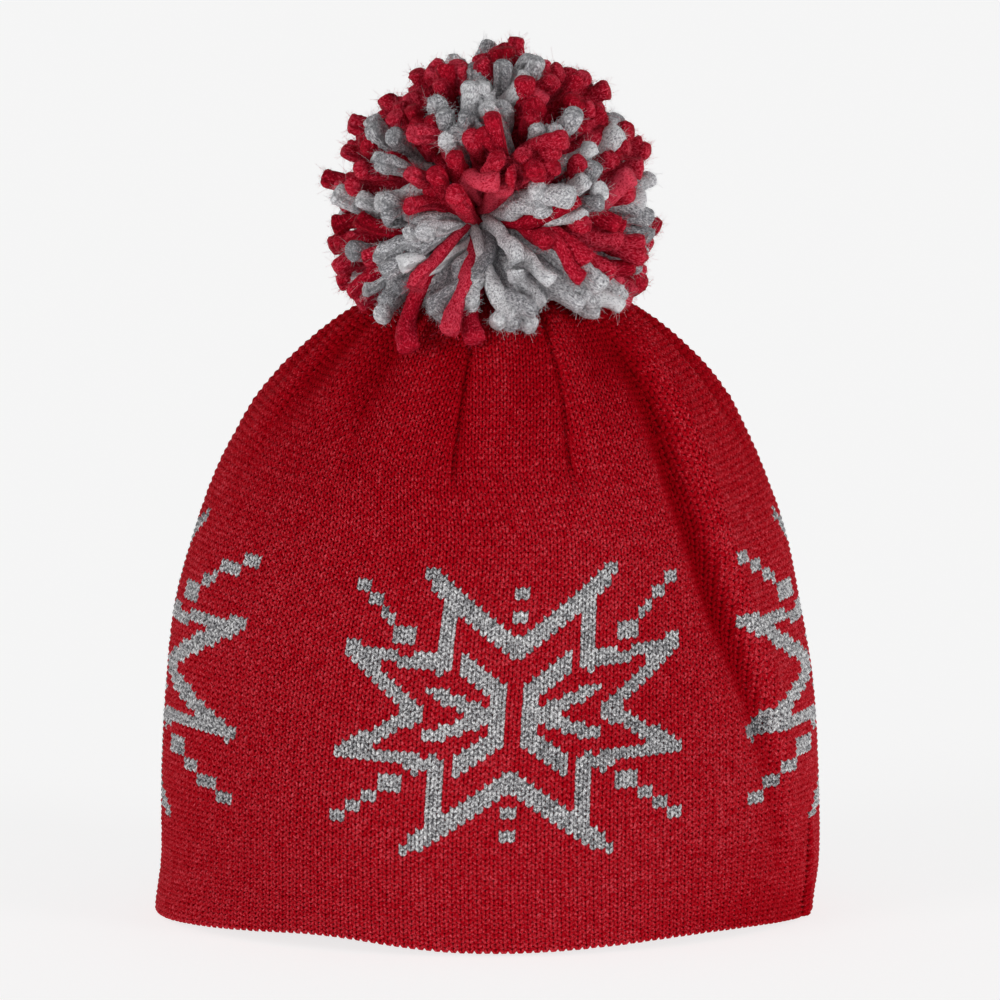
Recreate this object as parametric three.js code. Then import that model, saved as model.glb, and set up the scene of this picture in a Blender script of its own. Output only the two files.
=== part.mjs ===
// A knit beanie with a yarn pompom on its crown, standing on its hem with the body filled out as by a head.
// Units are millimetres. +Z is up, the front faces -Y, and the origin is the centre of the hem's opening,
// on the plane that the hem stands on.
import * as THREE from 'three';

// ---- Driving dimensions ----

// Knit body: an oval wall that closes into a dome.
const halfWidth = 108;
const halfDepth = 78;
const sideFlattening = 0.18;
const shoulderZ = 21;
const crownZ = 212;
const domeRiseExponent = 2.48;
const domeWidthExponent = 2.25;
const knitThickness = 2.8;
const hemRounding = 0.7;
const crownHoleHalfDepth = 1.9;

// Seams sewn on the inside of the knit.
const seamWidth = 2.4;
const seamHeight = 1.4;
const dartCount = 12;
const dartFootZ = 147;
const dartTopShare = 0.13;
const dartShift = 8;
const sideSeamDart = 2;

// Threads and cords that close the crown and hold the pompom.
const gatherRadius = 6;
const gatherThreadRadius = 0.7;
const cordRadius = 1.5;
const knotRadius = 3.4;
const knotFlattening = 0.8;
const flexRadius = 2;

// Pompom: bundles of cut yarn that spread from one tie.
const pompomRadius = 53;
const pompomCentreZ = 235;
const pompomUndersideDrop = 17;
const pompomUndersideSlope = 0.06;
const pompomRimSharpness = 5;
const tieRadius = 4;
const tieYarnRadius = 1.5;
const bundleRootDistance = 8;
const bundleSpread = 0.7;
const bundleEdgeDrop = 0.13;
const bundleRows = [
  { name: 'top', count: 1, elevation: 90, turnOffset: 0 },
  { name: 'upper', count: 5, elevation: 44, turnOffset: 0 },
  { name: 'lower', count: 8, elevation: 0, turnOffset: 0.5 },
];

// Clearance left between pieces that touch, and between a seam and the knit's flat facets.
const gap = 0.3;
const seamGap = 0.8;

// Mesh density.
const bodySteps = 56;
const domeSteps = 12;
const seamSteps = 10;
const girthSteps = 720;
const bundleSteps = 20;
const roundSteps = 14;

// ---- Materials ----

const knitRed = new THREE.MeshStandardMaterial({ color: '#9c1828', roughness: 0.95, metalness: 0 });
const seamRed = new THREE.MeshStandardMaterial({ color: '#7d1120', roughness: 0.95, metalness: 0 });
const yarnRed = new THREE.MeshStandardMaterial({ color: '#ab1a2f', roughness: 0.9, metalness: 0 });
const yarnGrey = new THREE.MeshStandardMaterial({ color: '#a3a3a8', roughness: 0.9, metalness: 0 });

// ---- Meshes from rings of points ----

/** Joins equal rings of points into a closed surface: wrapped round into a loop, or capped at both ends. */
function loft(rings, wrapped) {
  const around = rings[0].length;
  const faces = [];
  const spans = wrapped ? rings.length : rings.length - 1;
  for (let row = 0; row < spans; row += 1) {
    const here = row * around;
    const above = ((row + 1) % rings.length) * around;
    for (let i = 0; i < around; i += 1) {
      const j = (i + 1) % around;
      faces.push(here + i, here + j, above + j);
      faces.push(here + i, above + j, above + i);
    }
  }
  if (!wrapped) {
    const last = (rings.length - 1) * around;
    for (let i = 1; i < around - 1; i += 1) {
      faces.push(0, i + 1, i);
      faces.push(last, last + i, last + i + 1);
    }
  }
  const geometry = new THREE.BufferGeometry().setFromPoints(rings.flat());
  geometry.setIndex(faces);
  geometry.computeVertexNormals();
  return geometry;
}

/** A named mesh of one piece. */
function piece(name, geometry, material) {
  const mesh = new THREE.Mesh(geometry, material);
  mesh.name = name;
  return mesh;
}

// ---- The hat's surface ----

/** A point of the hat's outer surface, or of the surface a given inset inside it.
 *  turn is the angle round the hat from the front, share is the width there over the full width. */
function hatPoint(turn, share, z, inset) {
  const depthShare = Math.cos(turn) * (1 - sideFlattening * Math.sin(turn) ** 2);
  return new THREE.Vector3(
    (halfWidth - inset) * share * Math.sin(turn),
    -(halfDepth - inset) * share * depthShare,
    z,
  );
}

/** The share of full width and the height at an angle up the dome: 0 at the shoulder, PI / 2 at the top. */
function domeLevel(rise, inset) {
  const share = Math.cos(rise) ** (2 / domeWidthExponent);
  const z = shoulderZ + (crownZ - inset - shoulderZ) * Math.sin(rise) ** (2 / domeRiseExponent);
  return { share, z };
}

/** The angle up the dome where the width is a given share of the full width. */
function riseAtShare(share) {
  return Math.acos(share ** (domeWidthExponent / 2));
}

/** The angle up the dome at a given height of the outer surface. */
function riseAtHeight(z) {
  return Math.asin(((z - shoulderZ) / (crownZ - shoulderZ)) ** (domeRiseExponent / 2));
}

/** One ring round the hat. */
function hatRing(share, z, inset) {
  const ring = [];
  for (let i = 0; i < bodySteps; i += 1) {
    ring.push(hatPoint((i / bodySteps) * 2 * Math.PI, share, z, inset));
  }
  return ring;
}

/** The rings of one dome surface from the shoulder to the crown hole. */
function domeRings(inset) {
  const topRise = riseAtShare(crownHoleHalfDepth / halfDepth);
  const rings = [];
  for (let i = 0; i <= domeSteps; i += 1) {
    const { share, z } = domeLevel((i / domeSteps) * topRise, inset);
    rings.push(hatRing(share, z, inset));
  }
  return rings;
}

/** The knit fabric: one wall, open at the hem, with a small hole at the crown for the pompom's cord. */
function knitBody() {
  const hem = [
    hatRing(1, 0, knitThickness - hemRounding),
    hatRing(1, 0, hemRounding),
    hatRing(1, hemRounding, 0),
  ];
  const innerHem = hatRing(1, hemRounding, knitThickness);
  const inner = domeRings(knitThickness).reverse();
  return loft([...hem, ...domeRings(0), ...inner, innerHem], true);
}

// ---- Seams ----

/** Lengths along the hem from the front, at even steps of turn once round. */
function hemLengths() {
  const lengths = [0];
  for (let i = 1; i <= girthSteps; i += 1) {
    const from = hatPoint(((i - 1) / girthSteps) * 2 * Math.PI, 1, 0, 0);
    const to = hatPoint((i / girthSteps) * 2 * Math.PI, 1, 0, 0);
    lengths.push(lengths[i - 1] + from.distanceTo(to));
  }
  return lengths;
}

/** The turn at a length along the hem from the front. */
function turnAtGirth(length) {
  const reached = hemLengths().findIndex((reach) => reach >= length);
  return (reached / girthSteps) * 2 * Math.PI;
}

/** The turn of a dart. Darts are evenly spaced along the knit, from a little round from the front. */
function dartTurn(index) {
  const hemGirth = hemLengths().at(-1);
  const length = ((index + 0.5) / dartCount) * hemGirth + dartShift;
  return turnAtGirth(length % hemGirth);
}

/** A sewn ridge on the inside of the knit, following one turn through a list of dome levels. */
function insideSeam(turn, levelsAt) {
  const outerInset = knitThickness + seamGap;
  const innerInset = outerInset + seamHeight;
  const outer = levelsAt(outerInset);
  const inner = levelsAt(innerInset);
  const rings = outer.map((level, i) => {
    const reach = hatPoint(turn + 0.01, level.share, 0, outerInset)
      .distanceTo(hatPoint(turn - 0.01, level.share, 0, outerInset)) / 0.02;
    const half = seamWidth / 2 / reach;
    return [
      hatPoint(turn - half, level.share, level.z, outerInset),
      hatPoint(turn + half, level.share, level.z, outerInset),
      hatPoint(turn + half, inner[i].share, inner[i].z, innerInset),
      hatPoint(turn - half, inner[i].share, inner[i].z, innerInset),
    ];
  });
  return loft(rings, false);
}

/** Dome levels evenly spaced between two rises, on the surface at an inset. */
function levelsBetween(startRise, endRise, inset) {
  const levels = [];
  for (let i = 0; i <= seamSteps; i += 1) {
    levels.push(domeLevel(startRise + ((endRise - startRise) * i) / seamSteps, inset));
  }
  return levels;
}

/** A dart seam, which takes the knit in towards the crown. */
function dartSeam(index) {
  const foot = riseAtHeight(dartFootZ);
  const top = riseAtShare(dartTopShare);
  return insideSeam(dartTurn(index), (inset) => levelsBetween(foot, top, inset));
}

/** The seam that closes the knit into a tube, from just above the hem to the foot of a dart. */
function sideSeam() {
  const top = riseAtHeight(dartFootZ - 2 * gap);
  return insideSeam(dartTurn(sideSeamDart), (inset) => [
    { share: 1, z: hemRounding },
    ...levelsBetween(0, top, inset),
  ]);
}

// ---- Crown threads and the pompom's cord ----

/** A solid of revolution's ring of points about the Z axis. */
function levelRing(radius, z) {
  const ring = [];
  for (let i = 0; i < roundSteps; i += 1) {
    const turn = (i / roundSteps) * 2 * Math.PI;
    ring.push(new THREE.Vector3(radius * Math.cos(turn), radius * Math.sin(turn), z));
  }
  return ring;
}

/** An upright length of cord. */
function cord(bottomZ, topZ) {
  return loft([levelRing(cordRadius, bottomZ), levelRing(cordRadius, topZ)], false);
}

/** A ball on the Z axis, flattened by a factor. */
function ball(radius, centreZ, flattening) {
  const geometry = new THREE.SphereGeometry(radius, roundSteps, roundSteps / 2);
  geometry.rotateX(Math.PI / 2);
  geometry.scale(1, 1, flattening);
  geometry.translate(0, 0, centreZ);
  return geometry;
}

/** A thread ring about the Z axis. */
function threadRing(ringRadius, threadRadius, z) {
  const geometry = new THREE.TorusGeometry(ringRadius, threadRadius, 6, roundSteps);
  geometry.translate(0, 0, z);
  return geometry;
}

// ---- Pompom ----

/** The direction each bundle of yarn points in, with its name. */
function bundleAxes() {
  const axes = [];
  for (const row of bundleRows) {
    const elevation = THREE.MathUtils.degToRad(row.elevation);
    for (let i = 0; i < row.count; i += 1) {
      const turn = ((i + row.turnOffset) / row.count) * 2 * Math.PI;
      const axis = new THREE.Vector3(
        Math.cos(elevation) * Math.sin(turn),
        -Math.cos(elevation) * Math.cos(turn),
        Math.sin(elevation),
      );
      axes.push({ name: `pompom_bundle_${row.name}_${i + 1}`, axis });
    }
  }
  return axes;
}

/** The angle from a bundle's axis to its boundary with its nearest neighbour, towards one side. */
function boundaryAngle(axis, side, neighbours) {
  let angle = Math.PI / 2;
  for (const neighbour of neighbours) {
    const between = axis.angleTo(neighbour);
    const facing = side.dot(neighbour) / Math.sin(between);
    if (facing > 0) {
      angle = Math.min(angle, Math.atan(Math.tan(between / 2) / facing));
    }
  }
  return angle;
}

/** A point of a bundle. The pompom's underside is a shallow cone, and cuts it off with a round rim. */
function bundlePoint(direction, distance) {
  const outward = Math.hypot(direction.x, direction.y);
  const descent = Math.max(0, -direction.z - pompomUndersideSlope * outward);
  const pastUnderside = (distance * descent) / pompomUndersideDrop;
  const held = distance / (1 + pastUnderside ** pompomRimSharpness) ** (1 / pompomRimSharpness);
  return direction.clone().multiplyScalar(held);
}

/** One bundle: a cone of yarn from near the tie to a domed end, clear of its neighbours all round. */
function bundle(axis, neighbours) {
  const seed = Math.abs(axis.z) > 0.9 ? new THREE.Vector3(1, 0, 0) : new THREE.Vector3(0, 0, 1);
  const across = new THREE.Vector3().crossVectors(seed, axis).normalize();
  const along = new THREE.Vector3().crossVectors(axis, across);
  const spokes = [];
  for (let i = 0; i < bundleSteps; i += 1) {
    const turn = (i / bundleSteps) * 2 * Math.PI;
    const side = across.clone().multiplyScalar(Math.cos(turn));
    side.addScaledVector(along, Math.sin(turn));
    spokes.push({ side, angle: boundaryAngle(axis, side, neighbours) });
  }
  const directionAt = ({ side, angle }, fraction) => axis.clone()
    .multiplyScalar(Math.cos(angle * fraction))
    .addScaledVector(side, Math.sin(angle * fraction));
  const edgeDistance = pompomRadius * (1 - bundleEdgeDrop);
  const rings = [];
  for (const part of [0, 0.5, 1]) {
    rings.push(spokes.map((spoke) => {
      const edge = bundlePoint(directionAt(spoke, 1), edgeDistance);
      const root = edge.clone().setLength(bundleRootDistance);
      return root.lerp(edge, part);
    }));
  }
  for (const fraction of [0.92, 0.78, 0.55, 0.3, 0.08]) {
    const distance = pompomRadius * (1 - bundleEdgeDrop * fraction ** 3);
    rings.push(spokes.map((spoke) => bundlePoint(directionAt(spoke, fraction), distance)));
  }
  const geometry = loft(rings, false);
  geometry.translate(axis.x * bundleSpread, axis.y * bundleSpread, pompomCentreZ + axis.z * bundleSpread);
  return geometry;
}

/** Every bundle, red and grey yarn by turns. */
function pompomBundles() {
  const axes = bundleAxes();
  const straightDown = new THREE.Vector3(0, 0, -1);
  return axes.map(({ name, axis }, i) => {
    const neighbours = axes.map((other) => other.axis).filter((other) => other !== axis);
    const material = i % 2 ? yarnRed : yarnGrey;
    return piece(name, bundle(axis, [...neighbours, straightDown]), material);
  });
}

// ---- The beanie ----

const beanie = new THREE.Group();
beanie.name = 'knit_beanie';

beanie.add(piece('knit_body', knitBody(), knitRed));
beanie.add(piece('side_seam', sideSeam(), seamRed));
for (let i = 0; i < dartCount; i += 1) {
  beanie.add(piece(`crown_dart_seam_${i + 1}`, dartSeam(i), seamRed));
}

const gatherZ = crownZ - knitThickness - 2 * gap - gatherThreadRadius;
const gatherThread = threadRing(gatherRadius, gatherThreadRadius, gatherZ);
const knotTopZ = gatherZ + gap - gatherThreadRadius;
const knotCentreZ = knotTopZ - knotRadius * knotFlattening;
const flexCentreZ = crownZ + gap + flexRadius;
const tieBottomZ = pompomCentreZ - tieYarnRadius;
beanie.add(piece('crown_gather_thread', gatherThread, seamRed));
beanie.add(piece('anchor_knot', ball(knotRadius, knotCentreZ, knotFlattening), yarnRed));
beanie.add(piece('anchor_cord', cord(knotTopZ + gap, crownZ), yarnRed));
beanie.add(piece('tail_flex', ball(flexRadius, flexCentreZ, 1), yarnRed));
beanie.add(piece('pompom_tails', cord(flexCentreZ + flexRadius + gap, tieBottomZ - gap), yarnRed));
beanie.add(piece('pompom_tie', threadRing(tieRadius, tieYarnRadius, pompomCentreZ), yarnRed));
beanie.add(...pompomBundles());

export default beanie;
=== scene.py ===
"""A knit beanie with a yarn pompom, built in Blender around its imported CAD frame.

Units are metres. +Z is up, the front faces -Y, and the hem stands on z = 0.
The knit is laid out in wales, which are columns of stitches, and courses, which are rows.
Each stitch is two separate legs of yarn, and each tuft of the pompom is a length of two-ply yarn.
"""

import math
from types import SimpleNamespace

import bpy
import numpy as np
from mathutils import Matrix, Vector


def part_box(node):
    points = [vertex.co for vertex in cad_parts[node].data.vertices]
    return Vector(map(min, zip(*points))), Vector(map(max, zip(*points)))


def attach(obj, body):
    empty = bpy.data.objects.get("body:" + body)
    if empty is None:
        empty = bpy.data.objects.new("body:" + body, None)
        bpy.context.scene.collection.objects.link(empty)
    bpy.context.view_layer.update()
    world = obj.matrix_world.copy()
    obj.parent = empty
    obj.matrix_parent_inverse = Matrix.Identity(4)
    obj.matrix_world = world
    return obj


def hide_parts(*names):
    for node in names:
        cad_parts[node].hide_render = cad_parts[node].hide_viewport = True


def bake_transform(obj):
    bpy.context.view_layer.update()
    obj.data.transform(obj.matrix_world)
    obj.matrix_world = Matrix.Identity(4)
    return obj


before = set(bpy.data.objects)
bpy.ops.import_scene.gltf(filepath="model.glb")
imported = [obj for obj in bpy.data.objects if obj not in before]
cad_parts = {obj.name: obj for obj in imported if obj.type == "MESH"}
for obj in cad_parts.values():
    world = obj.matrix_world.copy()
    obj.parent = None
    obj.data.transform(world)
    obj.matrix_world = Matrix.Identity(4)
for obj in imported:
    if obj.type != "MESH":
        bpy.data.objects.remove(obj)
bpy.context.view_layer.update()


# ---- The hat's surface, as the CAD has it ----

HALF_WIDTH = 0.108
HALF_DEPTH = 0.078
SIDE_FLATTENING = 0.18
SHOULDER_Z = 0.021
CROWN_Z = 0.212
RISE_EXPONENT = 2.48
WIDTH_EXPONENT = 2.25
KNIT_THICKNESS = 0.0028
DART_FOOT_Z = 0.147
SIDE_STEPS = 40             # of the straight part of the profile
DOME_STEPS = 400

# ---- The knit ----

GORES = 12                  # the knit between one dart and the next
GORE_WALES = 18
WALES = GORES * GORE_WALES
COURSES = 126
PATTERN_SHIFT = 0.008       # how far round the hem the pattern's middle sits from the front
HEM_PITCH = 0.00162         # course pitch at the hem, at the motif and above it
MOTIF_PITCH = 0.00191
CROWN_PITCH = 0.00218
HEM_TO_MOTIF = (13, 24)     # the courses over which the pitch changes
MOTIF_TO_CROWN = (64, 80)
TOP_LEVEL = 0.965           # the knit is gathered from here to the crown
LAST_LEVEL = 0.995
SIDE_RIDE_UP = 0.04         # how much further the courses ride up at the sides

LEAN_MIDDLE_Z = 0.078       # the wales lean to the right about this height
LEAN_SPAN = 0.035
LEAN_ABOVE = 0.0050
LEAN_BELOW = 0.0027
LEAN_FADE = (0.16, 0.13)    # heights between which the lean fades in, coming down

SWAY_AT_CROWN = 0.0028      # the whole hat leans to the right at the crown
SWAY_HEIGHTS = (0.135, 0.19)
WAIST_Z = 0.103
WAIST_SWAY = (-0.0012, 0.02)    # and a little to the left about its waist

HEM_LIFT_CORNERS = 0.0026   # the front of the hem lifts between its middle and its ends
HEM_LIFT_FRONT = 0.0007
HEM_LIFT_LEFT = (0.0018, 0.25)
HEM_LIFT_LEFT_TURN = -0.5
HEM_LIFT_FADE = 0.03

# ---- Folds in the knit. A fold's pair is its height off the plain surface and its width ----

DART_LINE = (-0.0022, 0.0014)
DART_DIP = (-0.0012, 0.006)
DART_FOOT_FADE = (DART_FOOT_Z - 0.004, DART_FOOT_Z + 0.012)
DART_SHARE_BEHIND = 0.35    # of a dart's depth that is left away from the front
CREASE = (-0.0062, 0.0065)  # the long fold down the right of the front
CREASE_BANK = (0.0030, 0.0075)
CREASE_BANK_OFFSET = 0.013
CREASE_TURN_AT_HEM = 62     # degrees round from the front
CREASE_TURN_BACK = 20       # degrees back towards the front as it rises
CREASE_TURN_HEIGHTS = (0.0, 0.17)
PLEAT_HEIGHT = 0.0026
PLEATS_AROUND = 16
PLEAT_START = 0.8
PLEAT_HEIGHTS = (0.155, 0.19)
LUMP_HEIGHT = 0.0004
SEAM_GROOVE = (-0.0026, 0.0016)
SEAM_BANK = (0.0014, 0.002)
SEAM_BANK_OFFSET = 0.0036
SEAM_LINE_HEIGHTS = (0.045, 0.005)
CORNER_FLARE = (-0.0022, 0.012)
CROWN_TUCK = -0.0018
CROWN_TUCK_HEIGHTS = (0.165, 0.19)
DEEPEST_FOLD = -0.0066

FOLD_PAINTED_SHADE = 46              # painted shade: the yarn is coloured darker by this for each metre of a fold's depth
DEEPEST_FOLD_PAINTED_SHADE = -0.006  # folds deeper than this get no more painted shade
CROWN_PAINTED_SHADE = 0.075          # painted shade: the yarn is coloured darker by this towards the crown
CROWN_PAINTED_SHADE_HEIGHTS = (0.10, 0.20)

# ---- The motif, in wales and courses from its middle ----

MOTIF_COURSE = 43
MOTIF_MIDDLES = [(0, 1), (-72, 1.58), (66, 1.55)]   # wales from the front one, and how far it is widened
MOTIF_FAN = 0.2             # rise of the upper half, in courses for each wale beyond the upright arms
MOTIF_ARM_WALE = 9.5
MOTIF_STROKES = [           # start, end and half thickness; each is mirrored both ways
    ((0, 11), (11, 22), 1.45),
    ((11, 22), (12.6, 23.6), 0.8),
    ((9, 21), (9, 8), 0.9),
    ((9.3, 8.2), (11.8, 8.8), 1.3),
    ((11.5, 7.9), (21, 7.8), 0.95),
    ((21, 7.8), (12, 0), 1.25),
    ((2, 0), (2, 4.5), 0.6),
    ((2.5, 0), (5, 0), 1.2),
]
MOTIF_CUT_STROKES = [       # the same, and the furthest wale and course that each may reach
    ((2.6, 4.8), (7.4, 9.8), 1.45, 7.2, math.inf),
    ((4.2, 0.4), (9.9, 4), 1.2, math.inf, 4.6),
]
MOTIF_SQUARES = [           # middle and half size
    ((0, 16.5), 1),
    ((0, 20.5), 1),
    ((14.5, 12), 1.5),
    ((17, 14.5), 1),
    ((19, 16.5), 1),
    ((21, 18.5), 1),
]

# ---- Stitches: wales across, courses up and metres out ----

LEG_RINGS = np.array([0.13, 0.5, 0.87])
LEG_RING_RADII = np.array([0.74, 1.0, 0.84])
LEG_SIDES = 6
LEG_RADIUS = 0.240          # in wales
LEG_FLATNESS = 0.9
LEG_FOOT_WALE = 0.03
LEG_SPREAD_WALES = 0.46
LEG_FOOT_COURSE = -0.78
LEG_RISE_COURSES = 1.50
LEG_RING_TILT = 0.12        # in courses
LEG_DEPTH = 0.00042         # of the middle of a leg below the surface
LEG_END_DEPTH = 0.00130
LEG_DEPTH_SPREAD = 0.00006
STITCH_TONE_SPREAD = 0.02
SECOND_LEG_TONE_SPREAD = 0.03
STITCH_JITTER = 0.018       # in wales and courses
STITCH_FULLNESS_SPREAD = 0.04

LINING_DEPTH = 0.00125      # of the shell under the stitches
LINING_ROWS = 90
LINING_FIRST_COURSE = 0.35
LINING_LAST_SHARE = 0.985

# ---- Inner seams ----

SEAM_DEPTH = 0.0039         # of the middle of an inner seam below the surface
SEAM_RADIUS = 0.0008
SEAM_SIDES = 8
SEAM_LOOP_SWELL = 0.15
SEAM_RINGS_PER_COURSE = 5
SEAM_RINGS_PER_LOOP = 3
SEAM_TOP_SHARE = 0.95
SIDE_SEAM_GORE = 2

# ---- The pompom ----

POMPOM_CENTRE = np.array([0.0, 0.0, 0.235])
POMPOM_RADIUS = 0.053
JOINT_Z = 0.2143
SWING = math.radians(12)    # how far the pompom nods and tilts
SWING_CLEARANCE = 0.001
CROWN_CLEARANCE = 0.0026    # of the tip of a tuft that lies on the crown

TUFT_COUNT = 460
TUFT_RINGS = 20
TUFT_SIDES = 14
TUFT_ALONG = 1 - (1 - np.linspace(0, 1, TUFT_RINGS)) ** 1.8   # rings, closer together near the tip
TUFT_CAP_START = 0.975      # of the rounded rim of the cut end
TUFT_THICKNESS = (0.0052, 0.0068)
TUFT_TONE_SPREAD = 0.09
DIRECTION_SPREAD = 0.075
LENGTH_SPREAD = 0.05
LOWEST_DIRECTION_Z = -0.86

DIMPLE = np.array([-0.06, -0.96, -0.20])            # where the tie parts the tufts in front
DIMPLE_HOLE = math.radians(16)
DIMPLE_REACH = math.radians(50)

LENGTH_SHARE = 0.945        # of the pompom's radius
LOW_GAIN = 0.07
DRAPED_GAIN = 0.27
TOP_LOSS = 0.055
LEFT_TOP_LOSS = 0.08
LEFT_TOP = np.array([-0.57, 0, 0.82])
LOW_RIGHT_GAIN = 0.05
GREY_DRAPED_LOSS = 0.20

ROOT_FORWARD = (-0.003, -0.019, -0.007)             # where the front tufts spring from
ROOT_SPREAD = 0.0016
BEND_SPREAD = 0.0062
BEND_OUT = 0.003
KINK_SPREAD = 0.0006

FIBRES_EACH = 190
FIBRE_RINGS = 3
FIBRE_SIDES = 3
FIBRE_RADIUS = 0.000030
FIBRE_LENGTH = (0.0005, 0.0017)
FIBRE_BEND = 0.75
FIBRE_ROOT_SHARE = 0.36     # of the tuft's thickness, out from its middle
LONG_FIBRE_SHARE = 0.02
LONG_FIBRE_GAIN = 2.0
FIBRE_TONE_GAIN = 0.1

STRAY_COLOUR_SHARE = 0.10
# Where each colour gathers on the pompom's face, as shares of its radius across and up.
GREY_PATCHES = [
    (-0.08, 0.61), (0.12, 0.66), (-0.29, 0.52), (0.16, 0.84), (0.37, 0.40), (0.53, 0.47),
    (-0.33, 0.25), (-0.23, 0.09), (-0.58, 0.24), (-0.75, 0.34), (-0.87, 0.14), (-0.85, -0.10),
    (-0.64, -0.16), (-0.73, -0.30), (-0.45, -0.34), (-0.17, -0.30), (-0.60, -0.56),
    (-0.36, -0.68), (-0.01, -0.50), (0.22, -0.44), (0.15, -0.72), (0.42, -0.68), (0.60, -0.62),
    (-0.46, -0.76), (0.62, -0.74),
    (0.40, -0.02), (0.68, 0.03), (0.68, 0.28), (0.66, -0.18), (0.88, -0.15),
]
RED_PATCHES = [
    (-0.06, 0.92), (-0.48, 0.72), (-0.60, 0.54), (0.35, 0.70), (0.46, 0.58), (0.26, 0.54),
    (0.63, 0.54), (-0.03, 0.30), (0.20, 0.28), (0.30, 0.14), (0.57, 0.17), (0.84, 0.30),
    (0.90, 0.08), (0.52, -0.09), (0.80, -0.24), (0.36, -0.24), (0.56, -0.36), (0.12, -0.20),
    (0.78, -0.46), (-0.90, 0.32), (-0.58, 0.38), (-0.40, 0.38), (-0.68, 0.12), (-0.48, 0.06),
    (-0.54, -0.04), (-0.21, -0.02), (-0.96, 0.00), (-0.82, -0.22), (-0.58, -0.28), (-0.80, -0.52),
    (-0.52, -0.90), (-0.28, -0.86), (0.24, -0.90), (0.38, -0.88),
]

# ---- Camera, floor and light ----

CAMERA_ELEVATION = 7.5
CAMERA_DISTANCE = 2.2
SENSOR_WIDTH = 36
VIEW_WIDTH = 0.326
AIM = Vector((0.0033, 0, 0.1355))
FLOOR_REACH = 12
FLOOR_DROP = -0.0006        # just below the lowest stitch
FLOOR_GLOW = 0.757
LIGHT_AT_HORIZON = 0.685
LIGHT_OVERHEAD = 0.11
SUNS = [                    # name, strength, spread in degrees, and where it shines from
    ("main", 1.32, 20, (2.0, -1.3, 0.3)),
    ("fill", 1.50, 30, (-1.8, -1.4, 0.2)),
]


# ---- Meshes from arrays ----

def make_mesh(name, points, faces, materials, uvs=None, tone=None, material_index=None):
    """A smooth mesh object from arrays of points and of quads. A triangle has -1 for its last corner."""
    mesh = bpy.data.meshes.new(name)
    corner_count = np.where(faces[:, 3] < 0, 3, 4)
    corners = faces[faces >= 0]
    mesh.vertices.add(len(points))
    mesh.vertices.foreach_set("co", points.astype(np.float32).ravel())
    mesh.loops.add(len(corners))
    mesh.loops.foreach_set("vertex_index", corners.astype(np.int32))
    mesh.polygons.add(len(faces))
    starts = np.concatenate([[0], np.cumsum(corner_count)[:-1]])
    mesh.polygons.foreach_set("loop_start", starts.astype(np.int32))
    mesh.polygons.foreach_set("loop_total", corner_count.astype(np.int32))
    mesh.polygons.foreach_set("use_smooth", np.ones(len(faces), bool))
    if material_index is not None:
        mesh.polygons.foreach_set("material_index", material_index.astype(np.int32))
    for layer_name, values in (uvs or {}).items():
        layer = mesh.uv_layers.new(name=layer_name)
        layer.uv.foreach_set("vector", values[corners].astype(np.float32).ravel())
    if tone is not None:
        attribute = mesh.attributes.new("tone", "FLOAT", "POINT")
        attribute.data.foreach_set("value", tone.astype(np.float32))
    mesh.update(calc_edges=True)
    mesh.validate()
    for material in materials:
        mesh.materials.append(material)
    thing = bpy.data.objects.new(name, mesh)
    bpy.context.collection.objects.link(thing)
    return thing


def tube_faces(rings, sides):
    """Faces of a closed tube: rings of points one after another, then a point at each end."""
    faces = []
    first_tip = rings * sides
    last_tip = first_tip + 1
    for ring in range(rings - 1):
        for side in range(sides):
            here = ring * sides + side
            beside = ring * sides + (side + 1) % sides
            faces.append((here, beside, beside + sides, here + sides))
    last = (rings - 1) * sides
    for side in range(sides):
        beside = (side + 1) % sides
        faces.append((beside, side, first_tip, -1))
        faces.append((last + side, last + beside, last_tip, -1))
    return np.array(faces)


def repeat_faces(faces, copies, points_each):
    """The same faces for a number of copies of a piece, one after another."""
    offsets = np.arange(copies)[:, None, None] * points_each
    shifted = np.where(faces[None] < 0, -1, faces[None] + offsets)
    return shifted.reshape(-1, 4)


def frames_along(paths):
    """Tangents and two side directions at every point of each path, without sudden twists."""
    tangents = np.gradient(paths, axis=1)
    tangents /= np.linalg.norm(tangents, axis=-1, keepdims=True)
    upright = np.abs(tangents[:, :1, 2:3]) > 0.9
    seed = np.where(upright, [[[1.0, 0, 0]]], [[[0, 0, 1.0]]])
    first = np.cross(np.broadcast_to(seed, tangents.shape), tangents)
    first /= np.linalg.norm(first, axis=-1, keepdims=True)
    return tangents, first, np.cross(tangents, first)


def tubes(paths, radii, sides):
    """Points of closed tubes along paths, in the order of tube_faces. radii has a value for every side."""
    tangents, first, second = frames_along(paths)
    angles = np.arange(sides) / sides * 2 * math.pi
    around = (
        first[:, :, None] * np.cos(angles)[None, None, :, None]
        + second[:, :, None] * np.sin(angles)[None, None, :, None]
    )
    rings = paths[:, :, None] + around * radii[..., None]
    end_reach = radii[:, [0, -1]].mean(-1) * 0.2
    start = paths[:, 0] - tangents[:, 0] * end_reach[:, :1]
    end = paths[:, -1] + tangents[:, -1] * end_reach[:, 1:]
    return np.concatenate([rings.reshape(len(paths), -1, 3), start[:, None], end[:, None]], 1)


def smoothstep(low, high, value):
    """0 below low, 1 above high, and a smooth rise between them."""
    t = np.clip((value - low) / (high - low), 0, 1)
    return t * t * (3 - 2 * t)


def ridge(distance, shape):
    """A smooth ridge of a given height and width, or a groove where the height is negative."""
    height, width = shape
    return height * np.exp(-(distance / width) ** 2)


# ---- Where the knit lies ----

def section(turn, share):
    """X and Y of the hat's outer surface at a turn from the front, at a share of the full width."""
    depth_share = np.cos(turn) * (1 - SIDE_FLATTENING * np.sin(turn) ** 2)
    return HALF_WIDTH * share * np.sin(turn), -HALF_DEPTH * share * depth_share


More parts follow.
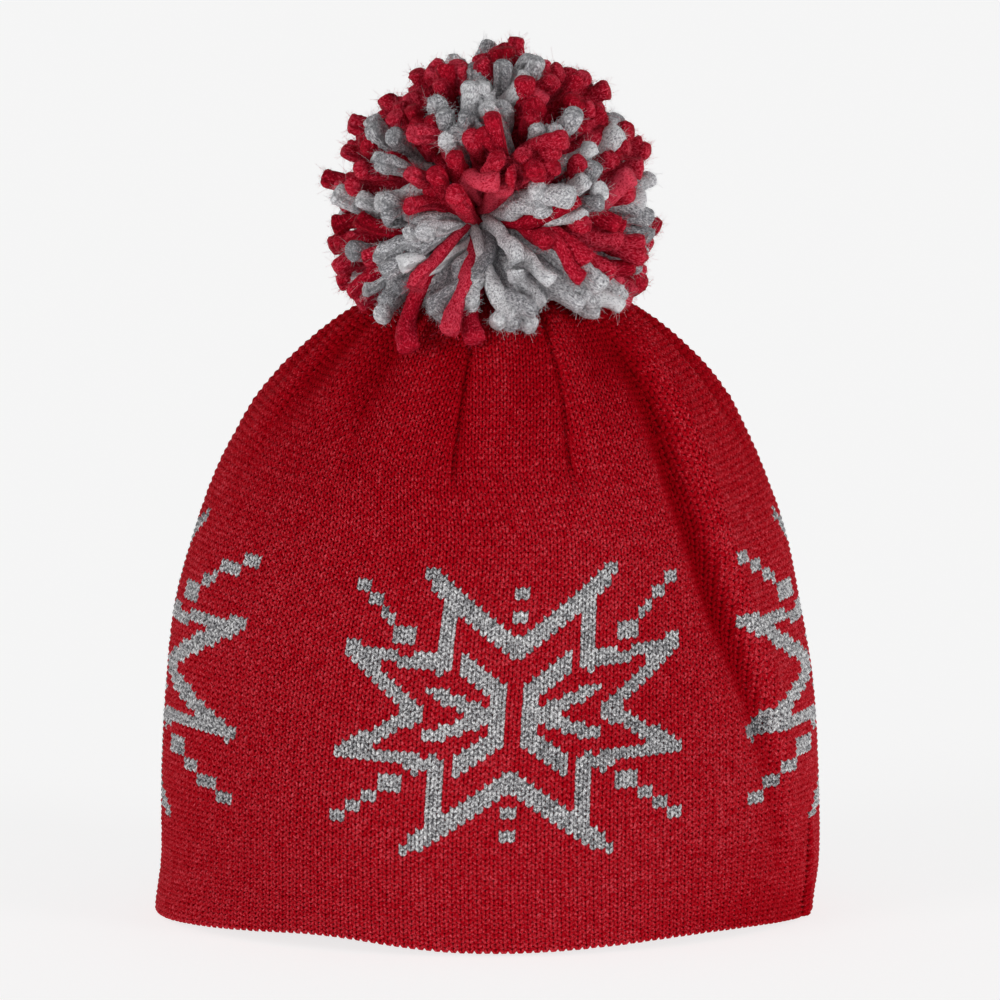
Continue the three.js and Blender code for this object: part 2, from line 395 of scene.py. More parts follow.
def running_length(*coordinates):
    """Lengths along a line of points, from 0."""
    steps = np.sqrt(sum(np.diff(line) ** 2 for line in coordinates))
    return np.concatenate([[0], np.cumsum(steps)])


RISES = np.linspace(0, math.pi / 2, DOME_STEPS)
DOME_SHARES = np.cos(RISES) ** (2 / WIDTH_EXPONENT)
DOME_HEIGHTS = SHOULDER_Z + (CROWN_Z - SHOULDER_Z) * np.sin(RISES) ** (2 / RISE_EXPONENT)
SIDE_HEIGHTS = np.linspace(0, SHOULDER_Z, SIDE_STEPS, endpoint=False)
PROFILE_SHARES = np.concatenate([np.ones(SIDE_STEPS), DOME_SHARES])
PROFILE_HEIGHTS = np.concatenate([SIDE_HEIGHTS, DOME_HEIGHTS])
FRONT_LENGTHS = running_length(PROFILE_HEIGHTS, HALF_DEPTH * PROFILE_SHARES)
SIDE_LENGTHS = running_length(PROFILE_HEIGHTS, HALF_WIDTH * PROFILE_SHARES)
FRONT_LEVELS = FRONT_LENGTHS / FRONT_LENGTHS[-1]
SIDE_LEVELS = SIDE_LENGTHS / SIDE_LENGTHS[-1]

HEM_TURNS = np.linspace(-math.pi, 3 * math.pi, 2881)
HEM_LENGTHS = running_length(*section(HEM_TURNS, 1))
HEM_GIRTH = HEM_LENGTHS[-1] / 2
HEM_SHARES = (HEM_LENGTHS - HEM_GIRTH / 2) / HEM_GIRTH
FOOT_SHARE = float(np.interp(DART_FOOT_Z, PROFILE_HEIGHTS, PROFILE_SHARES))

COURSE_NUMBERS = np.arange(-2, COURSES + 3)
COURSE_PITCHES = (
    HEM_PITCH
    + (MOTIF_PITCH - HEM_PITCH) * smoothstep(*HEM_TO_MOTIF, COURSE_NUMBERS)
    + (CROWN_PITCH - MOTIF_PITCH) * smoothstep(*MOTIF_TO_CROWN, COURSE_NUMBERS)
)
COURSE_HEIGHTS = np.concatenate([[0], np.cumsum(COURSE_PITCHES)[:-1]])
COURSE_LEVELS = COURSE_HEIGHTS - np.interp(0, COURSE_NUMBERS, COURSE_HEIGHTS)
COURSE_LEVELS = COURSE_LEVELS / np.interp(COURSES, COURSE_NUMBERS, COURSE_LEVELS)


def share_at(level):
    """The share of the hat's full width that is left at a level."""
    return np.interp(level, FRONT_LEVELS, PROFILE_SHARES)


def height_at(level):
    """The height above the hem's plane of a level."""
    return np.interp(level, FRONT_LEVELS, PROFILE_HEIGHTS)


def hat_point(turn, level):
    """A point of the hat's outer surface; level runs up the front, 0 at the hem and 1 at the crown."""
    x, y = section(turn, share_at(level))
    return np.stack([x, y, height_at(level)], -1)


def outward(turn, level):
    """The direction straight out of the hat's surface."""
    step = 1e-4
    inner_level = np.clip(level, step, 1 - step)
    across = hat_point(turn + step, inner_level) - hat_point(turn - step, inner_level)
    upward = hat_point(turn, inner_level + step) - hat_point(turn, inner_level - step)
    normal = np.cross(across, upward)
    return normal / np.linalg.norm(normal, axis=-1, keepdims=True)


def knit_level(course, turn):
    """The level of a course. Courses ride up round the sides, where the way to the crown is longer."""
    level = np.interp(course, COURSE_NUMBERS, COURSE_LEVELS)
    at_side = np.interp(level, SIDE_LEVELS, FRONT_LEVELS)
    sideways = np.sin(turn) ** 2
    ride_up = SIDE_RIDE_UP * np.sin(math.pi * np.clip(level, 0, 1) ** 3) ** 2
    return level + (at_side - level + ride_up) * sideways


def drift(turn, height):
    """How far wales stray round the hat at a height: they lean to the right going up through the motif."""
    lean = np.sin((height - LEAN_MIDDLE_Z) / LEAN_SPAN)
    reach = np.where(height > LEAN_MIDDLE_Z, LEAN_ABOVE, LEAN_BELOW)
    return reach * lean * np.maximum(0, np.cos(turn)) * smoothstep(*LEAN_FADE, height)


def hem_turn(girth_share):
    """The turn from the front that lies at a share of the way round the hem."""
    return np.interp(girth_share, HEM_SHARES, HEM_TURNS)


def knit_turn(gore, offset, share=1.0, aside=0.0):
    """The turn of a wale, in wales from its gore's middle. Above the dart foot wales keep their width."""
    keep_width = np.maximum(1, FOOT_SHARE / np.maximum(share, 0.02))
    return hem_turn(gore / GORES + (PATTERN_SHIFT + aside) / HEM_GIRTH + offset / WALES * keep_width)


def gore_share(share):
    """How much of its full width a gore still has, where the hat has a share of its own."""
    return np.minimum(1, share / FOOT_SHARE)


def signed_turn(turn):
    """A turn as an angle between -pi and pi."""
    return (turn + math.pi) % (2 * math.pi) - math.pi


# ---- Folds ----

def dart_folds(turn, height, dart_distance):
    """The fold along each dart, deepest at the front."""
    above_foot = smoothstep(*DART_FOOT_FADE, height)
    in_front = DART_SHARE_BEHIND + (1 - DART_SHARE_BEHIND) * smoothstep(0.80, 0.95, np.cos(turn))
    return in_front * above_foot * (ridge(dart_distance, DART_LINE) + ridge(dart_distance, DART_DIP))


def crease(turn, height, share):
    """The long fold down the right of the front, and the bank beside it."""
    turn_back = CREASE_TURN_BACK * smoothstep(*CREASE_TURN_HEIGHTS, height)
    distance = signed_turn(turn - np.radians(CREASE_TURN_AT_HEM - turn_back)) * HALF_WIDTH * share
    above_hem = smoothstep(0.0, 0.07, height)
    growth = 0.4 + 0.6 * smoothstep(0.04, 0.12, height)
    below_crown = smoothstep(0.206, 0.186, height)
    fold = ridge(distance, CREASE) + ridge(distance - CREASE_BANK_OFFSET, CREASE_BANK)
    return above_hem * growth * below_crown * fold


def side_seam_line(turn, height, share):
    """The short groove and bank that the side seam pulls into the knit at the hem."""
    seam_turn = hem_turn((SIDE_SEAM_GORE + 0.5) / GORES + PATTERN_SHIFT / HEM_GIRTH)
    distance = signed_turn(turn - seam_turn) * HALF_WIDTH * share
    line = ridge(distance, SEAM_GROOVE) + ridge(distance - SEAM_BANK_OFFSET, SEAM_BANK)
    return line * smoothstep(*SEAM_LINE_HEIGHTS, height)


def relief(turn, level, dart_distance):
    """How far the knit stands out of the hat's plain surface, or dips into it where it is negative."""
    height = height_at(level)
    share = share_at(level)
    waves = np.cos(PLEATS_AROUND * turn + PLEAT_START)
    pleats = PLEAT_HEIGHT * smoothstep(*PLEAT_HEIGHTS, height) * waves * share
    lumps = LUMP_HEIGHT * (np.sin(3 * turn + 1.1 + 31 * height) + np.sin(5 * turn - 52 * height))
    corner_flare = np.sin(turn) * ridge(height, CORNER_FLARE)
    crown_tuck = CROWN_TUCK * smoothstep(*CROWN_TUCK_HEIGHTS, height) * np.sin(turn) ** 2
    folds = dart_folds(turn, height, dart_distance) + crease(turn, height, share)
    seam = side_seam_line(turn, height, share)
    return np.maximum(DEEPEST_FOLD, folds + pleats + lumps + seam + corner_flare + crown_tuck)


def sway(height):
    """How far the whole hat leans to the right of upright at a height."""
    return SWAY_AT_CROWN * smoothstep(*SWAY_HEIGHTS, height) + ridge(height - WAIST_Z, WAIST_SWAY)


def hem_lift(turn):
    """How far the hem lifts off its plane."""
    facing = np.maximum(0, np.cos(turn))
    corners = HEM_LIFT_CORNERS * np.sin(2 * turn) ** 2 * facing
    front = HEM_LIFT_FRONT * np.sqrt(facing)
    left = ridge(signed_turn(turn) - HEM_LIFT_LEFT_TURN, HEM_LIFT_LEFT)
    return corners + front + left


def knit_place(gore, offset, course):
    """Where a point of the knit lies, as a turn and a level, and how far the knit stands out there."""
    plain_turn = knit_turn(gore, offset)
    level = np.clip(knit_level(course, plain_turn), 0, LAST_LEVEL)
    share = share_at(level)
    turn = knit_turn(gore, offset, share, drift(plain_turn, height_at(level)))
    to_gore_edge = GORE_WALES / 2 * gore_share(share) - np.abs(offset)
    dart_distance = to_gore_edge * HEM_GIRTH / WALES * FOOT_SHARE
    return turn, level, relief(turn, level, dart_distance)


def fold_and_crown_painted_shade(gore, offset, course):
    """Painted shade in the yarn's colour: darker in the folds and up towards the crown."""
    _, level, out = knit_place(gore, offset, course)
    # painted shade in the folds, darker the deeper the fold
    painted_fold_shade = FOLD_PAINTED_SHADE * np.clip(out, DEEPEST_FOLD_PAINTED_SHADE, 0)
    # less painted shade in the folds, and painted shade that darkens the yarn towards the crown
    return painted_fold_shade - CROWN_PAINTED_SHADE * smoothstep(*CROWN_PAINTED_SHADE_HEIGHTS, height_at(level))


def knit_point(gore, offset, course, height):
    """A point of the knit, at an offset in wales from its gore's middle and a height off the surface."""
    turn, level, surface = knit_place(gore, offset, course)
    out = height + surface
    point = hat_point(turn, level) + outward(turn, level) * out[..., None]
    point[..., 0] += sway(point[..., 2])
    below_hem = np.minimum(course, 0) * HEM_PITCH
    point[..., 2] += below_hem + hem_lift(turn) * np.exp(-point[..., 2] / HEM_LIFT_FADE)
    return point


# ---- Stitches ----

def leg_centre(side, t):
    """The middle of a leg of a stitch, part of the way t along it."""
    bow = 1 - (2 * t - 1) ** 2
    across = side * (LEG_FOOT_WALE + LEG_SPREAD_WALES * t)
    up = LEG_FOOT_COURSE + LEG_RISE_COURSES * t
    return across, up, -LEG_END_DEPTH + (LEG_END_DEPTH - LEG_DEPTH) * bow


def leg_shape(side):
    """Points of one leg of a stitch: wales across, courses up and metres out. And its UV along the yarn."""
    points = []
    yarn_uv = []
    wale_width = HEM_GIRTH / WALES
    for t, size in zip(LEG_RINGS, LEG_RING_RADII):
        across, up, out = leg_centre(side, t)
        radius = LEG_RADIUS * size
        for i in range(LEG_SIDES):
            angle = -2 * math.pi * i / LEG_SIDES
            points.append((
                across + radius * math.cos(angle),
                up - side * LEG_RING_TILT * math.cos(angle),
                out + radius * wale_width * LEG_FLATNESS * math.sin(angle),
            ))
            yarn_uv.append((i / LEG_SIDES, t))
    for t in (0, 1):
        points.append(leg_centre(side, t))
        yarn_uv.append((0.5, t))
    return np.array(points), np.array(yarn_uv)


def in_stroke(u, v, start, end, half):
    """Which places lie within half a stroke's thickness of its middle line."""
    du = end[0] - start[0]
    dv = end[1] - start[1]
    along = np.clip(((u - start[0]) * du + (v - start[1]) * dv) / (du * du + dv * dv), 0, 1)
    return np.hypot(u - start[0] - along * du, v - start[1] - along * dv) <= half


def in_motif(wale, course):
    """Which stitches are grey, at whole courses and half wales from the motif's middle."""
    u = np.abs(wale)
    v = np.abs(course - MOTIF_FAN * np.maximum(0, u - MOTIF_ARM_WALE) * (course > 0))
    grey = np.zeros(u.shape, bool)
    for start, end, half in MOTIF_STROKES:
        grey |= in_stroke(u, v, start, end, half)
    for start, end, half, widest, highest in MOTIF_CUT_STROKES:
        grey |= in_stroke(u, v, start, end, half) & (u <= widest) & (v <= highest)
    for middle, half in MOTIF_SQUARES:
        grey |= (np.abs(u - middle[0]) <= half) & (np.abs(v - middle[1]) <= half)
    return grey


def stitch_places():
    """Gore, offset from the gore's middle, course and colour of every stitch."""
    wales, courses = np.meshgrid(np.arange(WALES), np.arange(COURSES), indexing="ij")
    wales = wales.ravel()
    courses = courses.ravel()
    gores = wales // GORE_WALES
    offsets = wales % GORE_WALES - (GORE_WALES - 1) / 2
    levels = knit_level(courses, knit_turn(gores, offsets))
    room = GORE_WALES / 2 * gore_share(share_at(levels))
    kept = (np.abs(offsets) <= room + 0.3) & (levels < TOP_LEVEL)
    around = gores * GORE_WALES + offsets
    grey = np.zeros(around.shape, bool)
    for middle, widening in MOTIF_MIDDLES:
        from_middle = (around - middle + WALES / 2) % WALES - WALES / 2
        grey |= in_motif(from_middle / widening, courses - MOTIF_COURSE)
    squeezed = np.clip(offsets, 0.4 - room, room - 0.4)
    return gores[kept], squeezed[kept], courses[kept], grey[kept]


def stitches(name, gores, offsets, courses, material, seed):
    """One mesh of all the given stitches."""
    random = np.random.default_rng(seed)
    count = len(gores)
    all_points = []
    all_uvs = []
    all_bakes = []
    # random tone of each stitch, plus painted shade in the folds and towards the crown
    tones = random.normal(0.5, STITCH_TONE_SPREAD, count) + fold_and_crown_painted_shade(gores, offsets, courses)
    jitter = random.normal(0, STITCH_JITTER, (2, count, 1))
    fullness = random.normal(1, STITCH_FULLNESS_SPREAD, (count, 1))
    for side in (-1, 1):
        shape, yarn_uv = leg_shape(side)
        middle = shape.mean(0)
        across = middle[0] + (shape[:, 0] - middle[0]) * fullness + offsets[:, None] + jitter[0]
        up = shape[:, 1] + courses[:, None] + 0.5 + jitter[1]
        out = shape[:, 2] * np.ones((count, 1)) + random.normal(0, LEG_DEPTH_SPREAD, (count, 1))
        gore = gores[:, None] * np.ones((1, len(shape)))
        all_points.append(knit_point(gore, across, up, out))
        all_uvs.append(np.broadcast_to(yarn_uv, (count, len(shape), 2)) + random.random((count, 1, 2)))
        wale = (gores * GORE_WALES + GORE_WALES / 2)[:, None] + across
        all_bakes.append(np.stack([np.clip(wale / WALES, 0, 1), np.clip(up / COURSES, 0, 1)], -1))
    points = np.concatenate(all_points).reshape(-1, 3)
    per_leg = LEG_SIDES * len(LEG_RINGS) + 2
    faces = repeat_faces(tube_faces(len(LEG_RINGS), LEG_SIDES), 2 * count, per_leg)
    second_tones = tones + random.normal(0, SECOND_LEG_TONE_SPREAD, count)
    leg_tones = np.repeat(np.concatenate([tones, second_tones]), per_leg)
    uvs = {
        "OFBake": np.concatenate(all_bakes).reshape(-1, 2),
        "Yarn": np.concatenate(all_uvs).reshape(-1, 2),
    }
    return make_mesh(name, points, faces, [material], uvs, leg_tones)


def knit_lining(material):
    """The inner face of the knit and the floats between its stitches: a closed shell just under them."""
    wales = np.arange(WALES)
    gores = wales // GORE_WALES
    offsets = wales % GORE_WALES - (GORE_WALES - 1) / 2
    courses = np.linspace(LINING_FIRST_COURSE, COURSES * LINING_LAST_SHARE, LINING_ROWS)
    ring_courses = np.concatenate([courses, courses[::-1]])[:, None]
    ring_depths = np.repeat([LINING_DEPTH, KNIT_THICKNESS], LINING_ROWS)[:, None]
    ring_count = 2 * LINING_ROWS
    full = np.ones((ring_count, WALES))
    levels = knit_level(ring_courses * full, knit_turn(gores, offsets) * full)
    narrowing = gore_share(share_at(levels))
    points = knit_point(gores * full, offsets * narrowing, ring_courses * full, -ring_depths * full)
    beside = (wales + 1) % WALES
    faces = []
    for ring in range(ring_count):
        here = ring * WALES
        above = (ring + 1) % ring_count * WALES
        faces.append(np.stack([here + wales, here + beside, above + beside, above + wales], -1))
    row_share = np.arange(ring_count) / ring_count
    bake = np.stack([np.tile(wales / WALES, ring_count), np.repeat(row_share, WALES)], -1)
    uvs = {"OFBake": bake}
    return make_mesh("knit_lining", points.reshape(-1, 3), np.concatenate(faces), [material], uvs)


# ---- Inner seams ----

def inner_seam(name, gore, first_course, last_course, material):
    """A row of close thread loops sewn over the inside of the knit, along the right edge of a gore."""
    rings = int((last_course - first_course) * SEAM_RINGS_PER_COURSE)
    courses = np.linspace(first_course, last_course, rings)
    edge = GORE_WALES / 2 * np.ones(rings)
    edge *= gore_share(share_at(knit_level(courses, knit_turn(gore, edge))))
    path = knit_point(gore * np.ones(rings), edge, courses, np.full(rings, -SEAM_DEPTH))
    loops = 1 + SEAM_LOOP_SWELL * np.sin(math.pi * np.arange(rings) / SEAM_RINGS_PER_LOOP)
    radii = SEAM_RADIUS * loops[None, :, None] * np.ones((1, rings, SEAM_SIDES))
    points = tubes(path[None], radii, SEAM_SIDES)[0]
    return make_mesh(name, points, tube_faces(rings, SEAM_SIDES), [material])


def build_inner_seams(material):
    """The seam under every dart, and the seam that closes the knit at the side."""
    foot_level = np.interp(DART_FOOT_Z, PROFILE_HEIGHTS, FRONT_LEVELS)
    foot_course = float(np.interp(foot_level, COURSE_LEVELS, COURSE_NUMBERS))
    seams = [
        (f"crown_dart_seam_{gore + 1}", gore, foot_course + 0.5, COURSES * SEAM_TOP_SHARE)
        for gore in range(GORES)
    ]
    seams.append(("side_seam", SIDE_SEAM_GORE, 1, foot_course - 0.5))
    for node, gore, first_course, last_course in seams:
        seam = inner_seam(f"sewn_{node}", gore, first_course, last_course, material)
        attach(seam, "hat")
        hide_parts(node)


# ---- Pompom: where the tufts point ----

def spread_directions(count, random):
    """Directions spread evenly over a sphere, each a little off its place."""
    steps = np.arange(count) + 0.5
    height = 1 - 2 * steps / count
    turn = steps * math.pi * (3 - math.sqrt(5))
    level = np.sqrt(1 - height ** 2)
    directions = np.stack([level * np.cos(turn), level * np.sin(turn), height], -1)
    directions += random.normal(0, DIRECTION_SPREAD, directions.shape)
    return directions / np.linalg.norm(directions, axis=-1, keepdims=True)


def open_dimple(directions, middle):
    """Pushes directions away from a dimple's middle, so that none is nearer to it than the hole's angle."""
    cosine = directions @ middle
    angle = np.arccos(np.clip(cosine, -1, 1))
    side = directions - cosine[:, None] * middle
    side /= np.maximum(np.linalg.norm(side, axis=-1, keepdims=True), 1e-9)
    opened = DIMPLE_HOLE + angle * (DIMPLE_REACH - DIMPLE_HOLE) / DIMPLE_REACH
    pushed = np.where(angle < DIMPLE_REACH, opened, angle)
    return middle * np.cos(pushed)[:, None] + side * np.sin(pushed)[:, None]


def pompom_directions(random):
    """Which way each tuft points: all round, but parted by the tie in front and behind, and bare below."""
    directions = spread_directions(TUFT_COUNT, random)
    dimple = DIMPLE / np.linalg.norm(DIMPLE)
    for middle in (dimple, -dimple * [1, 1, -1]):
        directions = open_dimple(directions, middle)
    return directions[directions[:, 2] > LOWEST_DIRECTION_Z]


def drape(directions):
    """How far each tuft lies down over the crown, front and back, from 0 to 1."""
    return smoothstep(0.1, 0.7, np.abs(directions[:, 1])) * smoothstep(-0.3, -0.75, directions[:, 2])


def length_shares(directions):
    """The length of each tuft as a share of the pompom's radius: short at the top, long where it drapes."""
    lowness = smoothstep(0.15, -0.5, directions[:, 2])
    highness = smoothstep(0.3, 0.85, directions[:, 2])
    leftness = smoothstep(0.7, 1.0, directions @ LEFT_TOP)
    shares = LENGTH_SHARE + LOW_GAIN * lowness + DRAPED_GAIN * drape(directions)
    shares -= TOP_LOSS * highness + LEFT_TOP_LOSS * leftness
    return shares + LOW_RIGHT_GAIN * lowness * directions[:, 0]


def is_red(directions, random):
    """Which tufts are red, by the nearest patch of colour. The back looks as the front does."""
    up_tilt = math.radians(CAMERA_ELEVATION)
    across = directions[:, 0]
    up = directions[:, 2] * math.cos(up_tilt) + directions[:, 1] * math.sin(up_tilt)
    behind = directions[:, 1] > 0
    across = np.where(behind, -across, across)
    seen = np.stack([across, up], -1) + random.normal(0, 0.02, (len(across), 2))
    to_grey = np.linalg.norm(seen[:, None] - np.array(GREY_PATCHES)[None], axis=-1).min(1)
    to_red = np.linalg.norm(seen[:, None] - np.array(RED_PATCHES)[None], axis=-1).min(1)
    stray = random.random(len(across)) < STRAY_COLOUR_SHARE
    return (to_red < to_grey) ^ stray


# ---- Pompom: keeping clear of the crown ----

def outside_hat(points, clearance):
    """Which points lie outside the crown by at least a clearance."""
    height = np.clip(points[..., 2] - clearance, SHOULDER_Z, CROWN_Z)
    share = np.interp(height, DOME_HEIGHTS, DOME_SHARES)
    across = points[..., 0] / (HALF_WIDTH * share + clearance)
    along = points[..., 1] / (HALF_DEPTH * share + clearance)
    return (np.hypot(across, along) >= 1) | (points[..., 2] > CROWN_Z + clearance)


def raise_over_crown(directions, lengths, random):
    """Turns each direction up until a tuft of its length clears the crown, and says which ones turned."""
    elevation = np.arcsin(directions[:, 2])
    turn = np.arctan2(directions[:, 1], directions[:, 0])
    choices = np.radians(np.arange(-90, 30, 1.0))
    level = np.cos(choices)[None, :, None]
    tips = np.concatenate([
        level * np.cos(turn)[:, None, None],
        level * np.sin(turn)[:, None, None],
        np.broadcast_to(np.sin(choices)[None, :, None], (len(turn), len(choices), 1)),
    ], -1) * lengths[:, None, None] + POMPOM_CENTRE
    clear = outside_hat(tips, CROWN_CLEARANCE)
    blocked_up_to = len(choices) - np.argmax(~clear[:, ::-1], axis=1)
    lowest = choices[np.minimum(blocked_up_to, len(choices) - 1)]
    turned = elevation < lowest
    raised = np.where(turned, lowest + np.radians(random.uniform(0, 5, len(turn))), elevation)
    flat = np.cos(raised)
    raised_directions = np.stack([flat * np.cos(turn), flat * np.sin(turn), np.sin(raised)], -1)
    return raised_directions, turned


def dips_into_crown(paths):
    """Which tufts would reach into the crown with the pompom swung to the limits of its joints."""
    joint = np.array([0, 0, JOINT_Z])
    dips = np.zeros(len(paths), dtype=bool)
    for nod in (-SWING, SWING):
        for tilt in (-SWING, SWING):
            turn = Matrix.Rotation(nod, 3, "X") @ Matrix.Rotation(tilt, 3, "Y")
            swung = (paths - joint) @ np.array(turn).T + joint
            dips |= ~outside_hat(swung[:, 1:], SWING_CLEARANCE).all(axis=1)
    return dips


# ---- Pompom: the yarn ----

def tuft_paths(directions, lengths, random):
    """The middle line of each tuft, from the tie out to its tip."""
    frontness = np.clip(-directions[:, 1] * 1.6, -1, 1)
    forward = frontness * (0.25 + 0.75 * smoothstep(0.55, -0.05, directions[:, 2]))
    ways = np.stack([forward, forward, np.abs(forward)], -1)
    roots = POMPOM_CENTRE + np.array(ROOT_FORWARD) * ways
    roots += random.normal(0, ROOT_SPREAD, roots.shape)
    tips = POMPOM_CENTRE + directions * lengths[:, None]
    middles = (roots + tips) / 2 + random.normal(0, BEND_SPREAD, roots.shape)
    middles += directions * BEND_OUT
    t = TUFT_ALONG[None, :, None]
    paths = roots[:, None] * (1 - t) ** 2 + 2 * middles[:, None] * t * (1 - t) + tips[:, None] * t * t
    kinks = random.normal(0, KINK_SPREAD, (2, len(directions), 1, 3))
    paths += smoothstep(0.3, 0.6, t) * (kinks[0] * np.sin(11 * t) + kinks[1] * np.cos(14 * t))
    return paths


def tuft_radii(thickness, random):
    """Radii of two plies twisted together, with soft uneven sides and a blunt cut end."""
    count = len(thickness)
    t = TUFT_ALONG[None, :, None]
    angles = np.arange(TUFT_SIDES)[None, None, :] / TUFT_SIDES * 2 * math.pi
    twist = random.uniform(0, 2 * math.pi, (count, 1, 1)) + t * random.uniform(3.5, 6.0, (count, 1, 1))
    plies = 0.84 + 0.16 * np.abs(np.cos(angles - twist))
    swell = 0.60 + 0.40 * smoothstep(0.1, 0.6, t) + 0.10 * smoothstep(0.8, 0.97, t)
    waves = 0.08 * np.sin(13 * t + random.uniform(0, 6, (count, 1, 1)))
    bumps = 1 + waves + random.normal(0, 0.05, (count, TUFT_RINGS, TUFT_SIDES))
    cap = np.sqrt(1 - 0.45 * np.clip((t - TUFT_CAP_START) / (1 - TUFT_CAP_START), 0, 1) ** 2)
    radii = thickness[:, None, None] / 2 * plies * swell * bumps * cap
    radii[:, 0] *= 0.5
    return radii


def fibre_paths(paths, thickness, random):
    """Loose fibres that leave the side and end of each tuft, and the tuft that each belongs to."""
    count = len(paths) * FIBRES_EACH
    tuft = np.repeat(np.arange(len(paths)), FIBRES_EACH)
    along = random.uniform(0.45, 1.0, count) ** 0.6
    at = np.minimum((along * (TUFT_RINGS - 1)).astype(int), TUFT_RINGS - 2)
    start = paths[tuft, at]
    forward = paths[tuft, at + 1] - paths[tuft, at]
    forward /= np.linalg.norm(forward, axis=-1, keepdims=True)
    side = random.normal(0, 1, (count, 3))
    side -= (side * forward).sum(-1, keepdims=True) * forward
    side /= np.linalg.norm(side, axis=-1, keepdims=True)
    start = start + side * thickness[tuft, None] * FIBRE_ROOT_SHARE
    heading = forward * random.uniform(-1.2, 1.8, (count, 1)) + side
    heading /= np.linalg.norm(heading, axis=-1, keepdims=True)
    length = random.uniform(*FIBRE_LENGTH, (count, 1))
    length = length * np.where(random.random((count, 1)) < LONG_FIBRE_SHARE, LONG_FIBRE_GAIN, 1)
    bend = random.normal(0, FIBRE_BEND, (count, 3)) * length
    t = np.linspace(0, 1, FIBRE_RINGS)[None, :, None]
    return start[:, None] + heading[:, None] * length[:, None] * t + bend[:, None] * t * t, tuft


# ---- Pompom: the pieces ----

def bundle_axes():
    """The direction of each CAD bundle from the pompom's centre."""
    axes = {}
    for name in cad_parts:
        if name.startswith("pompom_bundle_"):
            low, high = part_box(name)
            middle = np.array((low + high) / 2) - POMPOM_CENTRE
            axes[name] = middle / np.linalg.norm(middle)
    return axes


def tuft_groups(directions, skirt):
    """The tufts nearest to each CAD bundle, and the skirt that lies on the crown."""
    axes = bundle_axes()
    nearest = (directions @ np.array(list(axes.values())).T).argmax(1)
    groups = [(name, (nearest == i) & ~skirt) for i, name in enumerate(axes)]
    groups.append(("skirt", skirt))
    return groups


def bake_cells(order, cells):
    """The corner of each tuft's own cell in a square grid of cells."""
    return np.stack([order % cells, order // cells], -1)


def joined(*parts):
    """The rows of several arrays as one list of rows."""
    return np.concatenate([part.reshape(-1, part.shape[-1]) for part in parts])


def tuft_mesh(name, members, yarn, materials, random):
    """One mesh of the tufts of a group, with the loose fibres on them."""
    chosen = np.flatnonzero(members)
    of_fibres = np.flatnonzero(members[yarn.fibre_tuft])
    owners = yarn.fibre_tuft[of_fibres]
    points_each = yarn.tuft_points.shape[1]
    fibre_points_each = yarn.fibre_points.shape[1]
    tuft_template = tube_faces(TUFT_RINGS, TUFT_SIDES)
    fibre_template = tube_faces(FIBRE_RINGS, FIBRE_SIDES)

    cells = math.ceil(math.sqrt(len(chosen)))
    order = np.full(len(members), -1)
    order[chosen] = np.arange(len(chosen))
    ring_angles = np.arange(TUFT_SIDES) / TUFT_SIDES
    local = np.stack(np.meshgrid(TUFT_ALONG, ring_angles, indexing="ij"), -1)[..., ::-1].reshape(-1, 2)
    local = np.concatenate([local, [[0.5, 0], [0.5, 1]]])
    tuft_uv = (bake_cells(order[chosen], cells)[:, None] + 0.04 + 0.92 * local[None]) / cells
    yarn_uv = local[None] + random.random((len(chosen), 1, 2))
    fibre_cells = bake_cells(order[owners], cells)[:, None]
    fibre_uv = (fibre_cells + 0.5) / cells * np.ones((1, fibre_points_each, 1))
    uvs = {"OFBake": joined(tuft_uv, fibre_uv), "Yarn": joined(yarn_uv, fibre_uv)}

    points = joined(yarn.tuft_points[chosen], yarn.fibre_points[of_fibres])
    tuft_faces = repeat_faces(tuft_template, len(chosen), points_each)
    fibre_faces = repeat_faces(fibre_template, len(of_fibres), fibre_points_each)
    fibre_faces = np.where(fibre_faces < 0, -1, fibre_faces + len(chosen) * points_each)
    faces = np.concatenate([tuft_faces, fibre_faces])
    material_index = np.concatenate([
        np.repeat(np.where(yarn.red[chosen], 0, 1), len(tuft_template)),
        np.repeat(np.where(yarn.red[owners], 0, 1), len(fibre_template)),
    ])
    tone = np.concatenate([
        np.repeat(yarn.tones[chosen], points_each),
        np.repeat(yarn.tones[owners] + FIBRE_TONE_GAIN, fibre_points_each),
    ])
    return make_mesh(name, points, faces, materials, uvs, tone, material_index)


def build_pompom(red, grey):
    """Every tuft of the pompom: a piece for each bundle of the CAD, and one for the skirt on the crown."""
    random = np.random.default_rng(20)
    directions = pompom_directions(random)
    count = len(directions)
    draped = drape(directions)
    lengths = POMPOM_RADIUS * length_shares(directions) * random.normal(1, LENGTH_SPREAD, count)
    directions, skirt = raise_over_crown(directions, lengths, random)
    thickness = random.uniform(*TUFT_THICKNESS, count)
    red_tufts = is_red(directions, random)
    lengths *= np.where(red_tufts, 1, 1 - GREY_DRAPED_LOSS * draped)
    paths = tuft_paths(directions, lengths, random)
    skirt |= dips_into_crown(paths)
    tuft_points = tubes(paths, tuft_radii(thickness, random), TUFT_SIDES)
    fibres, fibre_tuft = fibre_paths(paths, thickness, random)
    fibre_radii = np.full((len(fibres), FIBRE_RINGS, FIBRE_SIDES), FIBRE_RADIUS)
    yarn = SimpleNamespace(
        tuft_points=tuft_points,
        fibre_points=tubes(fibres, fibre_radii, FIBRE_SIDES),
        fibre_tuft=fibre_tuft,
        red=red_tufts,
        tones=random.normal(0.5, TUFT_TONE_SPREAD, count),
    )
    for name, members in tuft_groups(directions, skirt):
        tufts = tuft_mesh(f"tufts_{name}", members, yarn, [red, grey], random)
        if name == "skirt":
            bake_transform(tufts)
        else:
            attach(tufts, "pompom")
            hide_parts(name)


# ---- Materials ----

def linear(colour):
    """A linear RGBA colour from an sRGB hex code."""
    channels = [int(colour[i:i + 2], 16) / 255 for i in (1, 3, 5)]
    return [c / 12.92 if c <= 0.04045 else ((c + 0.055) / 1.055) ** 2.4 for c in channels] + [1]


